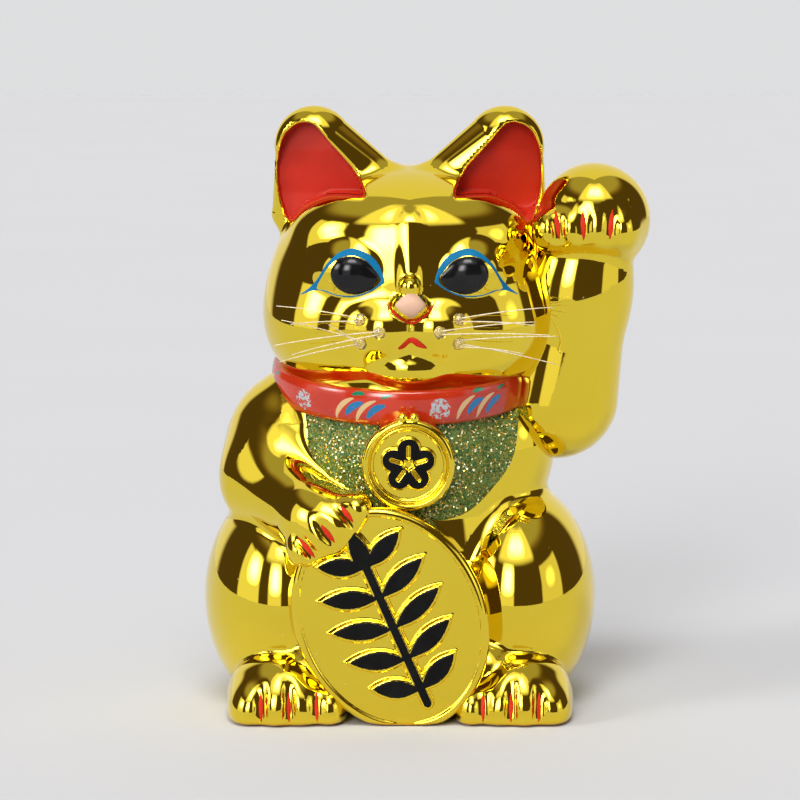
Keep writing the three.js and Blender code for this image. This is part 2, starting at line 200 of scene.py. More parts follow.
def head(p):
    """The head with its cheeks, jaw, brow, bridge, eye sockets, whisker pads, nose, chin and ears."""
    m = p - np.float32([HEAD_X, 0, 0])
    m[..., 0] = np.abs(m[..., 0])
    s = lambda c, r: ellipsoid(m, c, r)
    d = s((0, -4, 178), (60, 50, 52))
    d = smin(d, s((29, -13, 162), (30, 38, 25)), 16)
    d = smin(d, s((0, -16, 156), (34, 36, 22)), 14)
    d = smin(d, s((0, -22.5, 203), (46, 24.5, 18.5)), 12)
    d = smin(d, limb(m, (0, -41.5, 204), 9, (0, -52, 183), 4.6), 2.5)
    d = smin(d, s((23.8, -34.2, 187.4), (18.5, 20.4, 15.5)), 3.5)
    d = smin(d, s((10.5, -45.5, 164), (15.5, 15, 12)), 6)
    d = smin(d, s((0, -57.5, 182), (4.3, 4.4, 4.4)), 2)
    d = smin(d, s((0.5, -57.5, 174.2), (7.2, 5.5, 5.6)), 2)
    d = smin(d, s((0, -43.5, 147.5), (17, 13.5, 8.6)), 3)
    d = smin(d, ear(m), 5)
    return smax(d, -ear_scoop(m), 1.8)


def paw_grooves(d, p, claws, depth_axis, reach=5, width=2.2, deep=1.1, k=2.6):
    """Cuts a V along each claw line, given as (top, bottom) points on the paw's front."""
    for top, bottom in claws:
        a, b = np.float32(top), np.float32(bottom)
        along = (b - a) / np.linalg.norm(b - a)
        side = np.cross(along, np.float32(depth_axis))
        side /= np.linalg.norm(side)
        inward = np.cross(side, along)
        q = p - (a + b) / 2
        half = np.linalg.norm(b - a) / 2
        local = np.stack([q @ side, q @ inward, q @ along], -1)
        cut = ellipsoid(local, (0, 0, 0), (width, deep, half + reach))
        d = smax(d, -cut, k)
    return d


FOOT_CLAWS = [((x, -66.5, 14.5), (x * 0.995, -69.5, 1.5)) for x in (34.6, 46.2, 57.8)]
LOW_CLAWS = [((-42.2, -67, 79.6), (-34.8, -69, 70.8)), ((-32.8, -70, 85.4), (-26.6, -70.5, 77.4)),
             ((-24.8, -69, 93.2), (-19, -69, 85.6))]
HIGH_CLAWS = [((64.6, -38.5, 213), (66.4, -39.5, 200)), ((76, -41, 213), (76.4, -41.5, 199.6)),
              ((88.4, -40, 213), (87.2, -41, 200))]


def torso(p):
    """Seat, belly, back, chest, neck and left shoulder."""
    s = lambda c, r: ellipsoid(p, c, r)
    d = s((0, 9, 18), (68, 56, 40))
    d = smin(d, s((0, 7, 62), (61, 55, 72)), 14)
    d = smin(d, s((0, 9, 92), (50, 48, 60)), 14)
    d = smin(d, s((1, -5, 112), (52, 45, 36)), 12)
    d = smin(d, s((0, -1, 136), (50, 48, 24)), 8)
    d = smin(d, s((46, 0, 109), (20.5, 30, 30)), 10)
    return d


SLOT_HALF_WIDTH, SLOT_HALF_HEIGHT, SLOT_Z, SLOT_END_Y = 18, 1.8, 121, 30
RECESS_RADIUS, RECESS_DEPTH = 30, 4.5
HOLE_RADIUS, HOLE_TOP = 22.3, 30


def body(p):
    """The whole body casting: everything but the raised arm, less its slot, hole and hollow."""
    p = np.asarray(p, np.float32)
    m = p.copy()
    m[..., 0] = np.abs(m[..., 0])
    d = torso(p)
    thigh = ellipsoid(m, (49, -4, 44.8), (35.2, 50, 49.2))
    d = smin(d, thigh, 5)
    between_feet = limb(m, (0, -42.5, 17), 17, (36, -42.5, 17), 17)
    d = smin(d, between_feet, 3)
    shoulder = ellipsoid(p, (-50, -1, 103), (26, 32, 36.5))
    forearm = limb(p, (-57, -18, 96), 18.5, (-38, -47, 86.5), 15)
    paw = ellipsoid(p, (-30.5, -54.5, 82.5), (17, 16, 16))
    arm = smin(smin(shoulder, forearm, 12), paw, 7)
    near_shoulder = np.clip((p[..., 2] - 92) / 30, 0, 1) * np.clip((-30 - p[..., 0]) / 20, 0, 1)
    d = smin(d, arm, 4 + 9 * near_shoulder)
    for x, z in [(-40.4, 73), (-32.4, 78), (-25, 84.4), (-19.6, 90)]:
        d = smin(d, ellipsoid(p, (x + 1, -59.5, z), (8, 10, 8)), 4)
    d = paw_grooves(d, p, LOW_CLAWS, (0.2, 1, 0.1), reach=3)
    foot = ellipsoid(m, (49.6, -42, 6), (23.6, 27.5, 23.5))
    for x in (30, 40.4, 52, 63.2):
        foot = smin(foot, ellipsoid(m, (x, -56.5, 5), (8, 12, 11)), 5)
    d = smin(d, foot, 1.6)
    d = paw_grooves(d, m, FOOT_CLAWS, (0, 1, 0.2))
    tail_root = limb(p, (26, 58, 9), 10, (4, 66, 13), 8.5)
    d = smin(d, tail_root, 4)
    tail_tip = limb(p, (4, 66, 13), 8.5, (-13, 66, 23), 7.5)
    d = smin(d, tail_tip, 2)
    d = smin(d, head(p), 2.5)
    luting = limb(p, (56, -9, 204), 6, (59, -11, 184), 7)
    d = smin(d, luting, 6)
    slot = np.maximum(np.abs(p[..., 0]) - SLOT_HALF_WIDTH, np.abs(p[..., 2] - SLOT_Z) - SLOT_HALF_HEIGHT)
    d = smax(d, -np.maximum(slot, SLOT_END_Y - p[..., 1]), 0.8)
    from_axis = np.sqrt(p[..., 0] ** 2 + (p[..., 1] - STOPPER_Y) ** 2)
    d = smax(d, -np.maximum(from_axis - RECESS_RADIUS, p[..., 2] - RECESS_DEPTH), 0.8)
    d = smax(d, -np.maximum(from_axis - HOLE_RADIUS, p[..., 2] - HOLE_TOP), 0.5)
    hollow = ellipsoid(p, (0, 8, 52), (46, 40, 42))
    d = smax(d, -hollow, 0.8)
    return smax(d, -p[..., 2], 3)


def raised_arm_whole(p):
    """The raised arm with its fist folded forwards, before the body is cut out of it."""
    p = np.asarray(p, np.float32)
    d = limb(p, (66.5, -4, 131), 27.2, (74, -9, 176), 23)
    d = smin(d, limb(p, (74, -9, 176), 23, (79, -11, 201), 20.8), 10)
    fist = ellipsoid(p, (82, -16, 207.4), (23.8, 23.6, 23.8))
    for x in (62.5, 71.4, 82, 92.2):
        fist = smin(fist, ellipsoid(p, (x, -30.5, 203.5), (7.6, 10.2, 9)), 5)
    fist = smax(fist, -0.504 * (p[..., 1] + 38) - 0.863 * (p[..., 2] - 196.5), 3.5)
    d = smin(d, fist, 2.5)
    d = paw_grooves(d, p, HIGH_CLAWS, (0, 1, 0))
    return d


ARM_BEDDED = 1.6     # how far the arm's end goes into the body's skin


def raised_arm(p):
    return smax(raised_arm_whole(p), -(body(p) + ARM_BEDDED), 0.4)


# ---------------------------------------------------------------- meshing
def surface(field, low, high, step, coarse=5):
    """Dual mesh of the field's zero surface: (points, quads), the points moved onto it exactly."""
    low = np.array(low, float)
    blocks = np.ceil((np.array(high) - low) / (step * coarse)).astype(int)
    n = blocks * coarse + 1
    centres = np.stack(np.meshgrid(*[low[i] + step * coarse * (np.arange(blocks[i]) + 0.5) for i in range(3)],
                                   indexing="ij"), -1).astype(np.float32)
    rough = np.concatenate([field(c[None])[0][None] for c in centres])
    near = np.abs(rough) < step * coarse * 1.25
    values = np.repeat(np.repeat(np.repeat(rough, coarse, 0), coarse, 1), coarse, 2)
    values = np.pad(values, ((0, 1),) * 3, mode="edge").astype(np.float32)
    wanted = np.zeros(n, bool)
    b = np.argwhere(near)
    for i in range(coarse + 1):
        for j in range(coarse + 1):
            for k in range(coarse + 1):
                wanted[b[:, 0] * coarse + i, b[:, 1] * coarse + j, b[:, 2] * coarse + k] = True
    at = np.argwhere(wanted)
    found = np.empty(len(at), np.float32)
    for s in range(0, len(at), 400000):
        found[s:s + 400000] = field((low + at[s:s + 400000] * step).astype(np.float32))
    values[wanted] = found
    inside = values < 0
    corner = [inside[i:n[0] - 1 + i, j:n[1] - 1 + j, k:n[2] - 1 + k]
              for i in (0, 1) for j in (0, 1) for k in (0, 1)]
    count = sum(c.astype(np.int8) for c in corner)
    active = (count > 0) & (count < 8)
    number = np.full(active.shape, -1, int)
    cells = np.argwhere(active)
    number[active] = np.arange(len(cells))
    total, hits = np.zeros((len(cells), 3)), np.zeros(len(cells))
    steps = np.array([(i, j, k) for i in (0, 1) for j in (0, 1) for k in (0, 1)])
    for s in range(8):
        for axis in range(3):
            if steps[s][axis]:
                continue
            e = np.eye(3, dtype=int)[axis]
            a, c = cells + steps[s], cells + steps[s] + e
            va, vc = values[tuple(a.T)], values[tuple(c.T)]
            cross = (va < 0) != (vc < 0)
            t = np.where(cross, va / np.where(cross, va - vc, 1), 0)
            total += np.where(cross[:, None], a + t[:, None] * e, 0)
            hits += cross
    points = (low + total / hits[:, None] * step).astype(np.float32)
    quads = []
    for axis in range(3):
        e = np.eye(3, dtype=int)
        u, v = e[(axis + 1) % 3], e[(axis + 2) % 3]
        first = inside[tuple(slice(0, n[i] - e[axis][i]) for i in range(3))]
        second = inside[tuple(slice(e[axis][i], n[i]) for i in range(3))]
        edges = np.argwhere(first != second)
        ok = np.all(edges - u - v >= 0, 1) & np.all(edges < np.array(active.shape), 1)
        edges = edges[ok]
        out = first[tuple(edges.T)]
        ring = [edges - u - v, edges - v, edges, edges - u]
        quad = np.stack([number[tuple(r.T)] for r in ring], 1)
        quad[~out] = quad[~out][:, ::-1]
        quads.append(quad)
    quads = np.concatenate(quads)
    for _ in range(3):
        f, g = field(points), gradient(field, points)
        move = -(f / np.maximum((g ** 2).sum(-1), 0.05))[:, None] * g
        size = np.linalg.norm(move, axis=1, keepdims=True)
        points = points + move * np.minimum(1, 0.5 * step / np.maximum(size, 1e-9))
    return points, quads


def add_mesh(name, points, faces, normals=None):
    mesh = bpy.data.meshes.new(name)
    mesh.from_pydata(to_row(points).tolist(), [], [list(map(int, f)) for f in faces])
    mesh.update()
    mesh.shade_smooth()
    if normals is not None:
        mesh.normals_split_custom_set_from_vertices(unit(normals).tolist())
    piece = bpy.data.objects.new(name, mesh)
    bpy.context.scene.collection.objects.link(piece)
    return piece


def solid_piece(name, field, low, high, step):
    points, quads = surface(field, low, high, step)
    return add_mesh(name, points, quads, gradient(field, points)), points


def store(piece, name, values):
    layer = piece.data.attributes.new(name, "FLOAT", "POINT")
    layer.data.foreach_set("value", np.asarray(values, np.float32))


def flat_grid(plan, low, high, step):
    """Quads that fill a flat outline, their border moved onto it: (x, z, distance, quads)."""
    n = [int(math.ceil((high[i] - low[i]) / step)) + 1 for i in (0, 1)]
    x, z = np.meshgrid(low[0] + step * np.arange(n[0]), low[1] + step * np.arange(n[1]), indexing="ij")
    d = plan(x, z)
    keep = d < 0.45 * step
    cell = keep[:-1, :-1] & keep[1:, :-1] & keep[1:, 1:] & keep[:-1, 1:]
    used = np.zeros(x.shape, bool)
    for i in (0, 1):
        for j in (0, 1):
            used[i:n[0] - 1 + i, j:n[1] - 1 + j] |= cell
    number = np.full(x.shape, -1, int)
    number[used] = np.arange(used.sum())
    c = np.argwhere(cell)
    quads = np.stack([number[c[:, 0] + i, c[:, 1] + j] for i, j in ((0, 0), (1, 0), (1, 1), (0, 1))], 1)
    x, z, d = x[used], z[used], d[used]
    border = d > -0.5 * step
    for _ in range(3):
        h = 0.05
        gx, gz = (plan(x + h, z) - plan(x - h, z)) / (2 * h), (plan(x, z + h) - plan(x, z - h)) / (2 * h)
        length = np.maximum(gx ** 2 + gz ** 2, 0.1)
        x = np.where(border, x - np.clip(d / length, -step, step) * gx, x)
        z = np.where(border, z - np.clip(d / length, -step, step) * gz, z)
        d = plan(x, z)
    return x, z, np.where(border, 0, d), quads


def onto(field, x, z, start=-100.0):
    """The first point of the field's surface met going back along +Y from each (x, z)."""
    p = np.stack([x, np.full(x.shape, start), z], -1).astype(np.float32)
    for _ in range(90):
        p[:, 1] += np.clip(field(p) * 0.6, -2, 8)
    return p


def coat(name, plan, low, high, step, field, thick, edge, sink=0.15, start=-100.0, bumps=None):
    """A coat of paint on the field's surface, rounded off over the distance edge from its border."""
    x, z, d, quads = flat_grid(plan, low, high, step)
    p = onto(field, x, z, start)
    n = unit(gradient(field, p))
    t = np.clip(-d / edge, 0, 1)
    lift = -sink + (thick + sink) * np.sqrt(t * (2 - t))
    if bumps is not None:
        lift = lift + bumps(p) * t
    return add_mesh(name, p + n * lift[:, None], quads)


def finish_piece(piece, body_name, material, nodes=()):
    piece.data.materials.clear()
    piece.data.materials.append(material)
    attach(piece, body_name)
    if nodes:
        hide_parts(*nodes)
    return piece


# ---------------------------------------------------------------- materials
class Nodes:
    """A short way to wire one material."""

    def __init__(self, name):
        self.material = bpy.data.materials.new(name)
        self.material.use_nodes = True
        self.tree = self.material.node_tree
        self.shader = self.tree.nodes["Principled BSDF"]
        self.object = self.new("ShaderNodeTexCoord").outputs["Object"]

    def new(self, kind, **settings):
        node = self.tree.nodes.new(kind)
        for key, value in settings.items():
            setattr(node, key, value)
        return node

    def link(self, source, target):
        self.tree.links.new(source, target)

    def put(self, socket, value):
        if isinstance(value, bpy.types.NodeSocket):
            self.link(value, socket)
        else:
            socket.default_value = value

    def math(self, operation, a, b=0.0, c=0.0):
        node = self.new("ShaderNodeMath", operation=operation)
        for socket, value in zip(node.inputs, (a, b, c)):
            self.put(socket, value)
        return node.outputs[0]

    def noise(self, scale, detail=2.0, roughness=0.5):
        node = self.new("ShaderNodeTexNoise")
        node.inputs["Scale"].default_value = scale
        node.inputs["Detail"].default_value = detail
        node.inputs["Roughness"].default_value = roughness
        self.link(self.object, node.inputs["Vector"])
        return node.outputs["Fac"]

    def cells(self, scale):
        node = self.new("ShaderNodeTexVoronoi")
        node.inputs["Scale"].default_value = scale
        self.link(self.object, node.inputs["Vector"])
        return node

    def spread(self, value, low, high, to_low=0.0, to_high=1.0):
        """Maps low to high onto to_low to to_high, easing at both ends."""
        node = self.new("ShaderNodeMapRange", interpolation_type="SMOOTHSTEP")
        for socket, v in zip(node.inputs, (value, low, high, to_low, to_high)):
            self.put(socket, v)
        return node.outputs["Result"]

    def mix(self, share, a, b):
        node = self.new("ShaderNodeMix", data_type="RGBA")
        self.put(node.inputs[0], share)
        self.put(node.inputs[6], a)
        self.put(node.inputs[7], b)
        return node.outputs[2]

    def bump(self, height, strength, distance=0.001):
        node = self.new("ShaderNodeBump")
        node.inputs["Strength"].default_value = strength
        node.inputs["Distance"].default_value = distance
        self.link(height, node.inputs["Height"])
        self.link(node.outputs["Normal"], self.shader.inputs["Normal"])

    def set(self, **values):
        for key, value in values.items():
            self.put(self.shader.inputs[key.replace("_", " ")], value)
        return self


def rgb(r, g, b):
    return (r, g, b, 1.0)


def axis_point(m):
    """Object coordinates in millimetres from the stopper's axis."""
    shift = m.new("ShaderNodeVectorMath", operation="SUBTRACT")
    m.link(m.object, shift.inputs[0])
    shift.inputs[1].default_value = tuple(ORIGIN)
    scale = m.new("ShaderNodeVectorMath", operation="SCALE")
    m.link(shift.outputs[0], scale.inputs[0])
    scale.inputs["Scale"].default_value = 1000
    split = m.new("ShaderNodeSeparateXYZ")
    m.link(scale.outputs[0], split.inputs[0])
    return split.outputs


GOLD = rgb(0.87, 0.67, 0.055)
DEEP_GOLD = rgb(0.80, 0.44, 0.02)    # where the lacquer pools at the foot
RED = rgb(0.47, 0.018, 0.005)


def gold(painted=False):
    """Mirror gold with specks of dust under the lacquer. painted adds the red of the ears."""
    m = Nodes("gold_painted" if painted else "gold")
    z = axis_point(m)[2]
    tone = m.mix(m.spread(m.noise(9), 0.3, 0.7), GOLD, rgb(0.85, 0.64, 0.048))
    tone = m.mix(m.spread(z, 2.2, 0.4), tone, DEEP_GOLD)
    speck = m.cells(420)
    rare = m.math("GREATER_THAN", m.math("ADD", speck.outputs["Color"], 0), 0.87)
    dust = m.math("MULTIPLY", rare, m.spread(speck.outputs["Distance"], 0.16, 0.08))
    tone = m.mix(m.math("MULTIPLY", dust, 0.5), tone, rgb(0.86, 0.78, 0.5))
    rough = m.math("ADD", m.spread(m.noise(60, 3), 0.4, 0.75, 0.02, 0.05), m.math("MULTIPLY", dust, 0.35))
    metal = 1.0
    if painted:
        ear = m.new("ShaderNodeAttribute", attribute_name="ear_paint").outputs["Fac"]
        paint = m.spread(ear, -0.15, 0.15)
        tone = m.mix(paint, tone, RED)
        rough = m.math("ADD", rough, m.math("MULTIPLY", paint, 0.25))
        metal = m.math("SUBTRACT", 1.0, paint)
    m.set(Base_Color=tone, Roughness=rough, Metallic=metal)
    m.bump(m.noise(150, 2), 0.035, 0.0004)
    return m.material


def enamel(name, colour, dark, roughness, scale=120.0, specular=0.3):
    """Brushed-on enamel, a little uneven in colour, gloss and height."""
    m = Nodes(name)
    shade = m.mix(m.spread(m.noise(scale, 3), 0.3, 0.75), colour, dark)
    m.set(Base_Color=shade, Roughness=m.spread(m.noise(scale * 3), 0.3, 0.7, roughness, roughness + 0.08))
    m.set(Specular_IOR_Level=specular)
    m.bump(m.noise(scale * 1.5, 2), 0.12, 0.0003)
    return m.material


def glitter():
    """Green lacquer full of flakes, each with its own colour and tilt."""
    m = Nodes("glitter")
    flakes = m.cells(1500)
    kind = m.new("ShaderNodeSeparateColor")
    m.link(flakes.outputs["Color"], kind.inputs[0])
    r, g, b = kind.outputs
    base = m.mix(m.spread(m.noise(240, 2), 0.35, 0.65), rgb(0.018, 0.085, 0.012), rgb(0.06, 0.13, 0.016))
    base = m.mix(m.math("GREATER_THAN", r, 0.62), base, rgb(0.15, 0.20, 0.03))
    base = m.mix(m.math("GREATER_THAN", g, 0.80), base, rgb(0.62, 0.46, 0.10))
    base = m.mix(m.math("GREATER_THAN", b, 0.95), base, rgb(0.9, 0.82, 0.5))
    m.set(Base_Color=base, Roughness=m.spread(g, 0.0, 1.0, 0.5, 0.22))
    m.set(Metallic=m.spread(g, 0.7, 0.85, 0.1, 0.85))
    tilt = m.new("ShaderNodeVectorMath", operation="SUBTRACT")
    m.link(flakes.outputs["Color"], tilt.inputs[0])
    tilt.inputs[1].default_value = (0.5, 0.5, 0.5)
    normal = m.new("ShaderNodeNewGeometry").outputs["Normal"]
    lean = m.new("ShaderNodeVectorMath", operation="MULTIPLY_ADD")
    m.link(tilt.outputs[0], lean.inputs[0])
    lean.inputs[1].default_value = (1.1, 1.1, 1.1)
    m.link(normal, lean.inputs[2])
    even = m.new("ShaderNodeVectorMath", operation="NORMALIZE")
    m.link(lean.outputs[0], even.inputs[0])
    m.link(even.outputs[0], m.shader.inputs["Normal"])
    return m.material


def clear_glue():
    m = Nodes("clear_glue")
    tint = m.mix(m.spread(m.noise(500), 0.35, 0.65), rgb(0.95, 0.86, 0.55), rgb(0.98, 0.94, 0.78))
    m.set(Base_Color=tint, Roughness=m.spread(m.noise(900), 0.3, 0.7, 0.03, 0.12))
    m.set(Transmission_Weight=0.85, IOR=1.48)
    return m.material


def nylon():
    m = Nodes("nylon")
    tint = m.mix(m.spread(m.noise(300), 0.35, 0.65), rgb(0.72, 0.60, 0.36), rgb(0.86, 0.79, 0.60))
    m.set(Base_Color=tint, Roughness=m.spread(m.noise(700), 0.3, 0.7, 0.22, 0.35), Transmission_Weight=0.25)
    return m.material


def rubber():
    m = Nodes("stopper_rubber")
    tint = m.mix(m.spread(m.noise(60, 4), 0.3, 0.7), rgb(0.62, 0.61, 0.56), rgb(0.70, 0.69, 0.65))
    m.set(Base_Color=tint, Roughness=m.spread(m.noise(200), 0.3, 0.7, 0.45, 0.6))
    m.bump(m.noise(900, 3), 0.2, 0.0002)
    return m.material


COLLAR_AT = (1.5, 0, 139.2)
COLLAR_TILT = math.radians(9)
COLLAR_R = (55.6, 53.2)
BEAT = 61.7     # from one silver flower to the next along the band


def collar_paint():
    """Orange-red enamel, with silver flower daubs and slanted tan and blue brush strokes."""
    m = Nodes("collar_paint")
    x, y, z = axis_point(m)[:3]
    y0 = m.math("SUBTRACT", y, COLLAR_AT[1])
    z0 = m.math("SUBTRACT", z, COLLAR_AT[2])
    c, s = math.cos(COLLAR_TILT), math.sin(COLLAR_TILT)
    back = m.math("ADD", m.math("MULTIPLY", y0, c), m.math("MULTIPLY", z0, s))
    rise = m.math("SUBTRACT", m.math("MULTIPLY", z0, c), m.math("MULTIPLY", y0, s))
    turn = m.math("ARCTAN2", m.math("SUBTRACT", x, COLLAR_AT[0]), m.math("MULTIPLY", back, -1))
    mean_radius = 54
    arc = m.math("MULTIPLY", turn, mean_radius)
    shift = m.math("SUBTRACT", m.math("MULTIPLY", m.math("GREATER_THAN", arc, 20), 9.5),
                   m.math("MULTIPLY", m.math("LESS_THAN", arc, -120), 12))
    along = m.math("WRAP", m.math("ADD", m.math("ADD", arc, 34.8), shift), BEAT, 0)
    wobble = m.math("MULTIPLY", m.math("SUBTRACT", m.noise(420, 2), 0.5), 2.2)

    def stroke(at, height, length, width, lean, rough_edge=1.0):
        u, v = m.math("SUBTRACT", along, at), m.math("SUBTRACT", rise, height)
        a, b = math.cos(lean), math.sin(lean)
        p = m.math("ADD", m.math("MULTIPLY", u, a), m.math("MULTIPLY", v, b))
        q = m.math("SUBTRACT", m.math("MULTIPLY", v, a), m.math("MULTIPLY", u, b))
        bent = m.math("ADD", q, m.math("MULTIPLY", m.math("MULTIPLY", p, p), 0.045))
        r = m.math("ADD", m.math("POWER", m.math("ABSOLUTE", m.math("DIVIDE", p, length)), 2.0),
                   m.math("POWER", m.math("ABSOLUTE", m.math("DIVIDE", bent, width)), 2.0))
        return m.spread(m.math("ADD", r, m.math("MULTIPLY", wobble, 0.22 * rough_edge)), 1.08, 0.92)

    colour = m.mix(m.spread(m.noise(70, 3), 0.35, 0.7), rgb(0.46, 0.028, 0.007), rgb(0.39, 0.020, 0.005))
    tan, blue, green = rgb(0.56, 0.38, 0.18), rgb(0.005, 0.14, 0.34), rgb(0.01, 0.17, 0.09)
    for at, height, length, width, lean, tint in (
            (8.2, 0.4, 6.2, 1.1, 0.86, tan), (13.2, 0.2, 5.0, 1.5, 0.66, blue),
            (17.6, 0.0, 6.6, 1.05, 0.84, tan), (22.6, -0.4, 5.0, 1.5, 0.66, blue),
            (15.5, 6.0, 2.8, 0.9, 0.1, green), (27.5, 5.4, 2.4, 0.7, 0.3, green)):
        colour = m.mix(stroke(at, height, length, width, lean), colour, tint)
    daub = stroke(50, -0.2, 4.6, 4.2, 0.2, 3.0)
    broken = m.spread(m.noise(700, 3, 0.7), 0.44, 0.52)
    daub = m.math("MULTIPLY", daub, broken)
    colour = m.mix(daub, colour, rgb(0.50, 0.54, 0.58))
    scatter = m.cells(900)
    dots = m.math("MULTIPLY", m.spread(scatter.outputs["Distance"], 0.3, 0.2),
                  m.math("GREATER_THAN", m.math("ADD", scatter.outputs["Color"], 0), 0.80))
    near = m.spread(rise, -6.5, -3.0, 1.0, 0.12)
    colour = m.mix(m.math("MULTIPLY", dots, near), colour, rgb(0.62, 0.46, 0.18))
    m.set(Base_Color=colour, Roughness=m.spread(daub, 0, 1, 0.14, 0.4))
    m.set(Metallic=m.math("MULTIPLY", daub, 0.6))
    m.set(Coat_Weight=0.3, Coat_Roughness=0.05)
    m.bump(m.noise(160, 2), 0.1, 0.0003)
    return m.material


gold_plain, gold_body = gold(), gold(painted=True)
black = enamel("black_enamel", rgb(0.004, 0.004, 0.005), rgb(0.008, 0.008, 0.009), 0.07)
black_relief = enamel("black_relief", rgb(0.003, 0.003, 0.003), rgb(0.006, 0.006, 0.006), 0.3, specular=0.1)
red = enamel("red_enamel", RED, rgb(0.43, 0.015, 0.004), 0.4, specular=0.25)
claw_red = enamel("claw_red", rgb(0.56, 0.030, 0.010), rgb(0.46, 0.020, 0.006), 0.5, specular=0.1)
blue = enamel("blue_enamel", rgb(0.001, 0.125, 0.29), rgb(0.001, 0.15, 0.31), 0.5, 200, specular=0.12)
pink = enamel("pink_enamel", rgb(0.62, 0.39, 0.27), rgb(0.56, 0.34, 0.24), 0.4, 260)

# ---------------------------------------------------------------- ceramic pieces
STEP = 1.4
body_piece, body_points = solid_piece("body_gold", body, (-88, -76, -1.3), (88, 80, 257), STEP)
ear_side = body_points - np.float32([HEAD_X, 0, 0])
ear_side[:, 0] = np.abs(ear_side[:, 0])
depth = np.where(ear_side[:, 2] > 196, ear_scoop(ear_side), 99)
store(body_piece, "ear_paint", 0.3 - depth)
finish_piece(body_piece, "cat", gold_body, ["body_casting"])

arm_piece, _ = solid_piece("raised_arm_gold", raised_arm, (28, -50, 98), (110, 32, 234), STEP)
finish_piece(arm_piece, "cat", gold_plain, ["raised_arm_casting"])


EAR_PAINT_INSET = 0.35


def ear_lining(side):
    name = "ear_lining_left" if side > 0 else "ear_lining_right"
    plan = lambda x, z: ear_plan((x - HEAD_X) * side, z) + EAR_PAINT_INSET
    xs = sorted([HEAD_X + side * 15, HEAD_X + side * 60])
    piece = coat(name + "_red", plan, (xs[0], 203), (xs[1], 250), 0.9, body, 0.35, 0.8, start=-60.0)
    finish_piece(piece, "cat", red, [name])


ear_lining(-1)
ear_lining(1)

# ---------------------------------------------------------------- eyes, nose and mouth
LINER_OUTLINE = smooth_loop([
    (46.8, 176.9), (42.2, 180.4), (38.4, 184.6), (34.2, 191.4), (29.2, 195.9), (23.6, 197.6), (17.6, 195.8),
    (13.0, 191.6), (10.2, 184.6), (11.6, 182.4), (17.5, 178.9), (22.6, 177.4), (29.5, 177.6), (36.5, 179.6),
    (40.5, 179.3)])
EYE_OPENING = smooth_loop([
    (38.2, 180.8), (36.6, 184.8), (33.6, 189.6), (29.4, 193.2), (23.8, 194.4), (18.4, 192.6), (14.6, 188.6),
    (12.2, 184.4), (16.2, 180.6), (22.6, 178.4), (29.8, 178.5), (34.6, 180.1)])
line_plan = Plan(lambda x, z: np.maximum(polygon(x, z, LINER_OUTLINE), -polygon(x, z, EYE_OPENING)),
                 (5, 170), (52, 203), 0.2)
white_plan = Plan(lambda x, z: polygon(x, z, EYE_OPENING), (5, 170), (52, 203), 0.2)


PUPIL_RADII = (10.2, 8.5)


def eye(side):
    """The blue line round one eye, and its black domed pupil cut off by the lids."""
    name = "left" if side > 0 else "right"
    flip = lambda plan: (lambda x, z: plan((x - HEAD_X) * side, z))
    xs = sorted([HEAD_X + side * 6, HEAD_X + side * 50])
    line = coat("eyeliner_%s_blue" % name, flip(line_plan), (xs[0], 174), (xs[1], 200), 0.4, body, 0.22, 0.5)
    finish_piece(line, "cat", blue, ["eyeliner_" + name])
    centre = (HEAD_X + side * 22.6, 186.9)
    across, up = PUPIL_RADII
    pupil = lambda x, z: (np.sqrt(((x - centre[0]) / across) ** 2 + ((z - centre[1]) / up) ** 2) - 1) * 9.2
    plan = lambda x, z: np.maximum(pupil(x, z), flip(white_plan)(x, z) - 0.2)
    dome = coat("eye_%s_black" % name, plan, (centre[0] - 11, 177), (centre[0] + 11, 197), 0.6, body,
                1.1, 6.5)
    finish_piece(dome, "cat", black, ["eye_" + name])


eye(-1)
eye(1)

NOSE = smooth_loop([(-1.9, 174.8), (0.4, 178.2), (3.0, 179.8), (6.6, 179.6), (9.0, 177.4), (10.8, 174.6),
                    (7.6, 171.4), (4.5, 169.2), (1.2, 171.4)], 5)
nose_plan = lambda x, z: polygon(x, z, NOSE)
nose = coat("nose_pink", nose_plan, (-3, 167), (12, 182), 0.5, body, 0.35, 1.6)
finish_piece(nose, "cat", pink, ["nose_pad"])

NOSE_RIM = smooth_loop([(-5.2, 176.8), (-4.0, 172.8), (-0.7, 169.3), (4.7, 166.6), (10.1, 169.3),
                        (13.4, 172.8), (14.6, 176.8), (12.5, 173.3), (9.2, 170.3), (4.7, 167.8),
                        (0.2, 170.3), (-3.1, 173.3)], 6)
rim_plan = lambda x, z: polygon(x, z, NOSE_RIM)
nose_rim = coat("nose_rim_red", rim_plan, (-6, 164), (15, 178), 0.25, body, 0.5, 0.7, sink=-0.1)
finish_piece(nose_rim, "cat", claw_red)

MOUTH = smooth_loop([(4.5, 161.4), (2.6, 160.2), (-0.9, 156.6), (1.6, 156.8), (4.5, 159.0), (7.2, 157.4),
                     (11.2, 156.9), (7.2, 160.6)], 6)
mouth_plan = lambda x, z: polygon(x, z, MOUTH)
mouth = coat("mouth_red", mouth_plan, (-3, 154), (13, 163), 0.25, body, 0.4, 0.6, sink=-0.1)
finish_piece(mouth, "cat", claw_red, ["mouth"])


